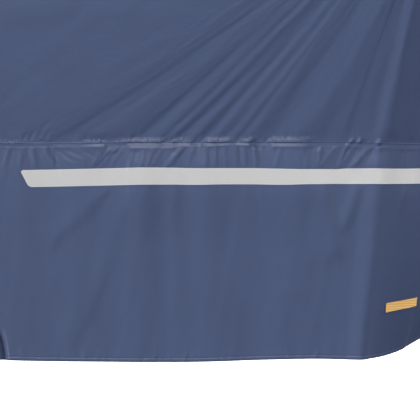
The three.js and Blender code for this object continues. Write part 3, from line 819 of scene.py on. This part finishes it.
def woven_ribbon(colour):
    """Woven ribbon: matte orange yarn in fine lengthwise lines."""
    material, tree = new_material("woven_orange_ribbon")
    coords = node(tree, "ShaderNodeTexCoord")
    # The yarn lies 0.5 mm apart; its lines are drawn at 5 mm, or they would not show at all.
    ribs = node(tree, "ShaderNodeTexWave", {"bands_direction": "Y"}, {
        "Vector": coords.outputs["UV"], "Scale": BAND / (5 * MM), "Distortion": 3, "Detail": 3})
    tone = node(tree, "ShaderNodeMix", {"data_type": "RGBA"}, {
        "Factor": ribs.outputs["Fac"], "A": shade(colour, 0.74), "B": colour})
    relief = node(tree, "ShaderNodeBump", inputs={
        "Height": ribs.outputs["Fac"], "Strength": 0.25, "Distance": 0.3 * MM})
    shader = node(tree, "ShaderNodeBsdfPrincipled", inputs={
        "Base Color": tone.outputs["Result"], "Normal": relief.outputs["Normal"], "Roughness": 0.75,
        "Diffuse Roughness": 1})
    node(tree, "ShaderNodeOutputMaterial", inputs={"Surface": shader.outputs["BSDF"]})
    return material


def spun_thread(colour):
    """Spun polyester thread: matte, a little paler than the cloth it sews, with a fuzz of 2 mm."""
    material, tree = new_material("spun_polyester_thread")
    coords = node(tree, "ShaderNodeTexCoord")
    fuzz = node(tree, "ShaderNodeTexNoise", inputs={
        "Vector": coords.outputs["Object"], "Scale": 1 / (2 * MM)})
    tone = node(tree, "ShaderNodeMix", {"data_type": "RGBA"}, {
        "Factor": fuzz.outputs["Fac"], "A": shade(colour, 0.8), "B": colour})
    shader = node(tree, "ShaderNodeBsdfPrincipled", inputs={
        "Base Color": tone.outputs["Result"], "Roughness": 0.8})
    node(tree, "ShaderNodeOutputMaterial", inputs={"Surface": shader.outputs["BSDF"]})
    return material


def studio_floor():
    """Matt white paint with a glow of its own, so the floor is as white as the photograph's background."""
    material, tree = new_material("matt_white_floor")
    shader = node(tree, "ShaderNodeBsdfPrincipled", inputs={
        "Base Color": linear("#f4f4f4"), "Roughness": 0.9, "Emission Color": WHITE, "Emission Strength": 1})
    node(tree, "ShaderNodeOutputMaterial", inputs={"Surface": shader.outputs["BSDF"]})
    return material


HALVES = {side: Half(side) for side in SIDES}


class CoverSizes(bpy.types.PropertyGroup):
    """Sizes and colours of the cover that a user would change."""

    cloth: FloatProperty(name="Cloth", description="Thickness of the cloth", default=0.0006, unit="LENGTH")
    hem: FloatProperty(name="Hem", description="Thickness of the doubled hem", default=0.0014, unit="LENGTH")
    stripe_top: FloatProperty(
        name="Stripe Top", description="Stripe's upper edge below the seam", default=0.051, unit="LENGTH")
    stripe_bottom: FloatProperty(
        name="Stripe Bottom", description="Stripe's lower edge below the seam", default=0.085, unit="LENGTH")
    stitch_pitch: FloatProperty(
        name="Stitch Pitch", description="Distance from stitch to stitch", default=0.0045, unit="LENGTH")
    stitch_length: FloatProperty(
        name="Stitch Length", description="Length of a stitch in sight", default=0.0034, unit="LENGTH")
    thread: FloatProperty(name="Thread", description="Thickness of the thread", default=0.0007, unit="LENGTH")
    cloth_colour: FloatVectorProperty(
        name="Cloth Colour", description="Colour of the coated cloth", size=4, subtype="COLOR",
        min=0, max=1, default=linear("#495677"))
    tape_colour: FloatVectorProperty(
        name="Tape Colour", description="Colour of the reflective tape", size=4, subtype="COLOR",
        min=0, max=1, default=linear("#bababb"))
    ribbon_colour: FloatVectorProperty(
        name="Ribbon Colour", description="Colour of the ribbon tag", size=4, subtype="COLOR",
        min=0, max=1, default=linear("#ffd68a"))
    thread_colour: FloatVectorProperty(
        name="Thread Colour", description="Colour of the sewing thread", size=4, subtype="COLOR",
        min=0, max=1, default=linear("#56648a"))


class COVER_OT_hood(bpy.types.Operator):
    """Builds both halves of the hood"""

    bl_idname = "cover.hood"
    bl_label = "Hood"

    def execute(self, context):
        sizes = context.scene.cover_sizes
        cloth = coated_taffeta(sizes.cloth_colour)
        for side, half in HALVES.items():
            drops = hood_drops(half)
            points, way = half.surface(drops)
            outer = points + way * sizes.cloth / MM
            mesh = sheet_mesh(
                f"hood_{side}_cloth", half.placed(outer), half.placed(points), side == "left",
                half.along, drops)
            piece = add_piece(f"hood_{side}_cloth", mesh, cloth, [f"hood_{side}"])
        return {"FINISHED"}


class COVER_OT_skirt(bpy.types.Operator):
    """Builds both halves of the skirt"""

    bl_idname = "cover.skirt"
    bl_label = "Skirt"

    def execute(self, context):
        sizes = context.scene.cover_sizes
        cloth = coated_taffeta(sizes.cloth_colour)
        for side, half in HALVES.items():
            drops = skirt_drops(half)
            points, way = half.surface(drops)
            in_hem = ease(*HEM_FROM, half.fall - drops)[..., None]
            thick = (sizes.cloth * (1 - in_hem) + sizes.hem * in_hem) / MM
            under_lap = LAP_GAP * (1 - ease(*LAP_TO, drops))[..., None]
            outer = points - way * under_lap
            mesh = sheet_mesh(
                f"skirt_{side}_cloth", half.placed(outer), half.placed(outer - way * thick), side == "left",
                half.along, drops)
            piece = add_piece(f"skirt_{side}_cloth", mesh, cloth, [f"skirt_{side}"])
        return {"FINISHED"}


class COVER_OT_stripes(bpy.types.Operator):
    """Builds the reflective stripes"""

    bl_idname = "cover.stripes"
    bl_label = "Reflective Stripes"

    def execute(self, context):
        sizes = context.scene.cover_sizes
        tape = reflective_tape(sizes.tape_colour)
        top, bottom = sizes.stripe_top / MM, sizes.stripe_bottom / MM
        rows = np.linspace(0, 1, STRIPE_ROWS)
        drops = top + (bottom - top) * rows
        edge = np.minimum(rows, 1 - rows) * (bottom - top)
        short = np.maximum(STRIPE_CORNER - edge, 0)
        corner = STRIPE_CORNER - np.sqrt(STRIPE_CORNER ** 2 - short ** 2)
        start = along_at(STRIPE_END + STRIPE_SLANT * rows) + corner
        settled = along_at(STRIPE_END + STRIPE_SLANT) + STRIPE_SETTLE
        fan = np.linspace(0, 1, STRIPE_FAN, endpoint=False)
        for side, half in HALVES.items():
            rest = half.along[half.along > settled + STRIPE_ROOM]
            along = np.concatenate(
                [start[:, None] * (1 - fan) + settled * fan, np.tile(rest, (len(rows), 1))], 1)
            points, ways = [], []
            for row, drop, lines in zip(rows, drops, along):
                near = Half(side, lines)
                sag, narrowing = (table_curve(STRIPE_RUN[side], i)(near.section["foot"]) for i in (1, 2))
                found, way = near.line(drop + sag - narrowing * row)
                points.append(found)
                ways.append(way)
            under, face = (half.placed(np.array(points) + np.array(ways) * off) for off in TAPE_OFF)
            mesh = sheet_mesh(f"stripe_{side}_tape", face, under, side == "left", along, drops[:, None])
            # Distance from the tape's edges, which its material uses to paint a highlight along them.
            rim = (np.minimum(edge[:, None], along - start[:, None]) * MM).astype(np.float32).ravel()
            mesh.attributes.new("rim", "FLOAT", "POINT").data.foreach_set("value", np.tile(rim, 2))
            piece = add_piece(
                f"stripe_{side}_tape", mesh, tape, [f"reflective_stripe_{side}"])
        return {"FINISHED"}


class COVER_OT_tag(bpy.types.Operator):
    """Builds the ribbon tag on the right skirt"""

    bl_idname = "cover.tag"
    bl_label = "Ribbon Tag"

    def execute(self, context):
        sizes = context.scene.cover_sizes
        ribbon = woven_ribbon(sizes.ribbon_colour)
        stripe = sizes.stripe_bottom / MM
        half = Half("right", np.linspace(*along_at(TAG_FEET), TAG_COLUMNS))
        shares = np.linspace(*TAG_SHARES, TAG_ROWS)[:, None]
        rear, front = (stripe + (half.fall[end] - stripe) * shares for end in (0, -1))
        drops = rear + (front - rear) * np.linspace(0, 1, TAG_COLUMNS)
        points, way = half.surface(drops)
        lift = np.linspace(0, 1, TAG_ROWS)[:, None, None] ** 2 * TAG_LIFT
        under, face = (half.placed(points + way * (off + lift)) for off in TAG_OFF)
        mesh = sheet_mesh("tag_ribbon", face, under, False, half.along, drops)
        piece = add_piece("tag_ribbon", mesh, ribbon, ["tag"])
        return {"FINISHED"}


def stitch_tree():
    """A node tree that lays a stitch at each step of a line, turned along it and off the cloth."""
    tree = bpy.data.node_groups.new("stitch_row", "GeometryNodeTree")
    sockets = (("Line", "Geometry", "INPUT"), ("Pitch", "Float", "INPUT"), ("Size", "Vector", "INPUT"),
               ("Thread", "Material", "INPUT"), ("Stitches", "Geometry", "OUTPUT"))
    for name, kind, way in sockets:
        tree.interface.new_socket(name, in_out=way, socket_type=f"NodeSocket{kind}")
    given = node(tree, "NodeGroupInput").outputs
    curve = node(tree, "GeometryNodeMeshToCurve", inputs={"Mesh": given["Line"]})
    steps = node(tree, "GeometryNodeResampleCurve", {"mode": "LENGTH"}, {
        "Curve": curve.outputs["Curve"], "Length": given["Pitch"]})
    stitch = node(tree, "GeometryNodeMeshUVSphere", inputs={"Segments": 6, "Rings": 3, "Radius": 0.5})
    along = node(tree, "GeometryNodeInputTangent")
    off = node(tree, "GeometryNodeInputNamedAttribute", {"data_type": "FLOAT_VECTOR"}, {"Name": "way"})
    turn = node(tree, "FunctionNodeAxesToRotation", {"primary_axis": "Z", "secondary_axis": "X"}, {
        "Primary Axis": along.outputs["Tangent"], "Secondary Axis": off.outputs["Attribute"]})
    laid = node(tree, "GeometryNodeInstanceOnPoints", inputs={
        "Points": steps.outputs["Curve"], "Instance": stitch.outputs["Mesh"],
        "Rotation": turn.outputs["Rotation"], "Scale": given["Size"]})
    solid = node(tree, "GeometryNodeRealizeInstances", inputs={"Geometry": laid.outputs["Instances"]})
    sewn = node(tree, "GeometryNodeSetMaterial", inputs={
        "Geometry": solid.outputs["Geometry"], "Material": given["Thread"]})
    node(tree, "NodeGroupOutput", inputs={"Stitches": sewn.outputs["Geometry"]})
    return tree


def line_mesh(name, lines):
    """Lines of points in metres as edges, with the way off the cloth at each point."""
    points, ways = (np.concatenate(parts) for parts in zip(*lines))
    edges, start = [], 0
    for line, _ in lines:
        edges += [(start + i, start + i + 1) for i in range(len(line) - 1)]
        start += len(line)
    mesh = bpy.data.meshes.new(name)
    mesh.from_pydata(points.tolist(), edges, [])
    held = mesh.attributes.new("way", "FLOAT_VECTOR", "POINT")
    held.data.foreach_set("vector", ways.astype(np.float32).ravel())
    return mesh


class COVER_OT_stitches(bpy.types.Operator):
    """Sews the waist seam and the hem"""

    bl_idname = "cover.stitches"
    bl_label = "Stitches"

    def execute(self, context):
        sizes = context.scene.cover_sizes
        lines = []
        for half in HALVES.values():
            sewn = [(drop, sizes.cloth / MM) for drop in half.sewn_drops(SEAM_STITCHES[:, None])]
            for drop, lift in (*sewn, (half.fall - HEM_STITCHES, 0)):
                points, way = half.line(drop)
                placed = half.placed(points + way * lift)
                aside = half.placed(points + way * (lift + 1)) - placed
                lines.append((placed, aside / np.linalg.norm(aside, axis=-1, keepdims=True)))
        rows = bpy.data.objects.new("stitch_lines", line_mesh("stitch_lines", lines))
        context.scene.collection.objects.link(rows)
        modifier = rows.modifiers.new("stitches", "NODES")
        modifier.node_group = stitch_tree()
        thread = spun_thread(sizes.thread_colour)
        size = (sizes.thread, sizes.thread, sizes.stitch_length)
        values = {"Pitch": sizes.stitch_pitch, "Size": size, "Thread": thread}
        for socket in modifier.node_group.interface.items_tree:
            if socket.name in values:
                modifier[socket.identifier] = values[socket.name]
        mesh = bpy.data.meshes.new_from_object(rows.evaluated_get(context.evaluated_depsgraph_get()))
        bpy.data.objects.remove(rows)
        if not mesh.polygons:
            raise RuntimeError("no stitches were made")
        mesh.shade_smooth()
        add_piece("seam_stitches", mesh, thread, [])
        return {"FINISHED"}


def area_light(name, place, aim, size, watts, hidden_from=None):
    """A round soft light that the camera does not see, nor the kind of ray that it is hidden from."""
    data = bpy.data.lights.new(name, "AREA")
    data.shape = "DISK"
    data.size = size
    data.energy = watts
    light = bpy.data.objects.new(name, data)
    light.location = place
    light.rotation_euler = (Vector(aim) - Vector(place)).to_track_quat("-Z", "Y").to_euler()
    light.visible_camera = False
    if hidden_from:
        setattr(light, f"visible_{hidden_from}", False)
    bpy.context.scene.collection.objects.link(light)
    return light


def studio_world():
    """A white surround, dim below the nose and pale above the tail."""
    world = bpy.data.worlds.new("studio")
    world.use_nodes = True
    tree = world.node_tree
    coords = node(tree, "ShaderNodeTexCoord")
    across = node(tree, "ShaderNodeVectorMath", {"operation": "DOT_PRODUCT"}, {
        0: coords.outputs["Generated"], 1: SKY_AXIS})
    strength = node(tree, "ShaderNodeMapRange", inputs={"Value": across.outputs["Value"], **SKY})
    background = tree.nodes["Background"]
    background.inputs["Color"].default_value = WHITE
    tree.links.new(strength.outputs["Result"], background.inputs["Strength"])
    return world


def photo_camera():
    """A level camera at the photograph's place, with its frame's width on the centre plane."""
    data = bpy.data.cameras.new("photo")
    data.sensor_width = SENSOR
    data.lens = SENSOR * -CAMERA_AT[1] / PHOTO_WIDTH
    camera = bpy.data.objects.new("photo", data)
    camera.location = CAMERA_AT
    camera.rotation_euler = (math.pi / 2, 0, 0)
    bpy.context.scene.collection.objects.link(camera)
    return camera


class COVER_OT_stage(bpy.types.Operator):
    """Sets the floor, light and camera"""

    bl_idname = "cover.stage"
    bl_label = "Stage"

    def execute(self, context):
        bpy.ops.mesh.primitive_circle_add(
            vertices=64, radius=FLOOR_RADIUS, fill_type="NGON", location=(0, 0, -REST[2] * MM))
        floor = context.object
        floor.name = "floor"
        floor.data.materials.append(studio_floor())
        floor.visible_diffuse = False
        floor.visible_glossy = False
        for light in LIGHTS:
            area_light(*light)
        # Glass beads send light back to the eye, so one more light reaches the stripes alone.
        beads = bpy.data.collections.new("beads")
        for side in SIDES:
            beads.objects.link(bpy.data.objects[f"stripe_{side}_tape"])
        area_light(*BEAD_LIGHT).light_linking.receiver_collection = beads
        context.scene.world = studio_world()
        context.scene.camera = photo_camera()
        context.scene.view_settings.view_transform = "Standard"
        return {"FINISHED"}


class COVER_PT_panel(bpy.types.Panel):
    """Lists the cover's pieces and sizes"""

    bl_idname = "COVER_PT_panel"
    bl_label = "Scooter Cover"
    bl_space_type = "VIEW_3D"
    bl_region_type = "UI"
    bl_category = "Cover"

    def draw(self, context):
        for operator in OPERATORS:
            self.layout.operator(operator.bl_idname)
        for name in CoverSizes.__annotations__:
            self.layout.prop(context.scene.cover_sizes, name)


OPERATORS = (COVER_OT_hood, COVER_OT_skirt, COVER_OT_stripes, COVER_OT_tag, COVER_OT_stitches, COVER_OT_stage)
CLASSES = (CoverSizes, *OPERATORS, COVER_PT_panel)


def register():
    for cls in CLASSES:
        bpy.utils.register_class(cls)
    bpy.types.Scene.cover_sizes = PointerProperty(type=CoverSizes)


def unregister():
    del bpy.types.Scene.cover_sizes
    for cls in reversed(CLASSES):
        bpy.utils.unregister_class(cls)


def main():
    """Builds the cover and its stage."""
    register()
    bpy.ops.cover.hood()
    bpy.ops.cover.skirt()
    bpy.ops.cover.stripes()
    bpy.ops.cover.tag()
    bpy.ops.cover.stitches()
    bpy.ops.cover.stage()


if __name__ == "__main__":
    main()
